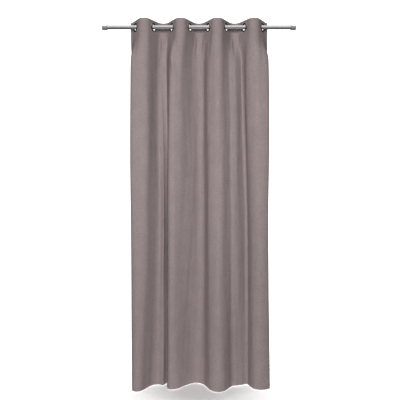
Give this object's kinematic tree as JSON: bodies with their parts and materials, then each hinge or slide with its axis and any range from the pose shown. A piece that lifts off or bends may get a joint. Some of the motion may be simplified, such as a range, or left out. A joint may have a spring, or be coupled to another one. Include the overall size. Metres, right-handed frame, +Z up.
{
  "type": "eyelet curtain panel on a rod",
  "caption": "Fabric curtain panel with metal eyelets, hanging in even folds from a round metal rod with end caps. The folds close up and open out along the rod.",
  "frame": {"origin": "on the rod's axis, halfway between the two bracket seats", "axes": "+X along the rod to the right of someone facing the curtain, +Y from the front of the curtain to its back, +Z up"},
  "size_m": [1.372, 0.118, 2.6],
  "materials": {
    "rod": "polished",
    "end_caps": "polished",
    "cap_plugs": "moulded",
    "cloth": "soft suede-like woven cloth, warm taupe grey",
    "heading_tape": "stiff non-woven band",
    "eyelets": "polished",
    "label": "plain satin tab"
  },
  "bodies": {
    "rod": {"rod_tube": "rod", "end_cap_left": "end_caps", "end_cap_right": "end_caps", "cap_plug_left": "cap_plugs", "cap_plug_right": "cap_plugs"},
    "pleat_1": {"cloth_1": "cloth", "heading_tape_1": "heading_tape", "eyelet_front_1": "eyelets", "eyelet_back_1": "eyelets"},
    "pleat_2": {"cloth_2": "cloth", "heading_tape_2": "heading_tape", "eyelet_front_2": "eyelets", "eyelet_back_2": "eyelets"},
    "pleat_3": {"cloth_3": "cloth", "heading_tape_3": "heading_tape", "eyelet_front_3": "eyelets", "eyelet_back_3": "eyelets"},
    "pleat_4": {"cloth_4": "cloth", "heading_tape_4": "heading_tape", "eyelet_front_4": "eyelets", "eyelet_back_4": "eyelets"},
    "pleat_5": {"cloth_5": "cloth", "heading_tape_5": "heading_tape", "eyelet_front_5": "eyelets", "eyelet_back_5": "eyelets"},
    "pleat_6": {"cloth_6": "cloth", "heading_tape_6": "heading_tape", "eyelet_front_6": "eyelets", "eyelet_back_6": "eyelets"},
    "pleat_7": {"cloth_7": "cloth", "heading_tape_7": "heading_tape", "eyelet_front_7": "eyelets", "eyelet_back_7": "eyelets"},
    "pleat_8": {"cloth_8": "cloth", "heading_tape_8": "heading_tape", "eyelet_front_8": "eyelets", "eyelet_back_8": "eyelets", "care_label": "label"}
  },
  "joints": [
    {"name": "gather", "type": "hinge", "parent": "rod", "child": "pleat_1", "pos_m": [-0.44946, 0, -0.00249], "axis": [0, 0, -1], "range_deg": [-2, 35]},
    {"name": "fold_1_2", "type": "hinge", "parent": "pleat_1", "child": "pleat_2", "pos_m": [-0.38525, -0.0575, -0.00249], "axis": [0, 0, -1], "range_deg": [-70, 4]},
    {"name": "fold_2_3", "type": "hinge", "parent": "pleat_2", "child": "pleat_3", "pos_m": [-0.25684, 0.0575, -0.00249], "axis": [0, 0, -1], "range_deg": [-4, 70]},
    {"name": "fold_3_4", "type": "hinge", "parent": "pleat_3", "child": "pleat_4", "pos_m": [-0.12842, -0.0575, -0.00249], "axis": [0, 0, -1], "range_deg": [-70, 4]},
    {"name": "fold_4_5", "type": "hinge", "parent": "pleat_4", "child": "pleat_5", "pos_m": [0, 0.0575, -0.00249], "axis": [0, 0, -1], "range_deg": [-4, 70]},
    {"name": "fold_5_6", "type": "hinge", "parent": "pleat_5", "child": "pleat_6", "pos_m": [0.12842, -0.0575, -0.00249], "axis": [0, 0, -1], "range_deg": [-70, 4]},
    {"name": "fold_6_7", "type": "hinge", "parent": "pleat_6", "child": "pleat_7", "pos_m": [0.25684, 0.0575, -0.00249], "axis": [0, 0, -1], "range_deg": [-4, 70]},
    {"name": "fold_7_8", "type": "hinge", "parent": "pleat_7", "child": "pleat_8", "pos_m": [0.38525, -0.0575, -0.00249], "axis": [0, 0, -1], "range_deg": [-70, 4]}
  ],
  "couplings": [
    {"joint": "fold_1_2", "follows": "gather", "ratio": -2},
    {"joint": "fold_2_3", "follows": "gather", "ratio": 2},
    {"joint": "fold_3_4", "follows": "gather", "ratio": -2},
    {"joint": "fold_4_5", "follows": "gather", "ratio": 2},
    {"joint": "fold_5_6", "follows": "gather", "ratio": -2},
    {"joint": "fold_6_7", "follows": "gather", "ratio": 2},
    {"joint": "fold_7_8", "follows": "gather", "ratio": -2}
  ]
}
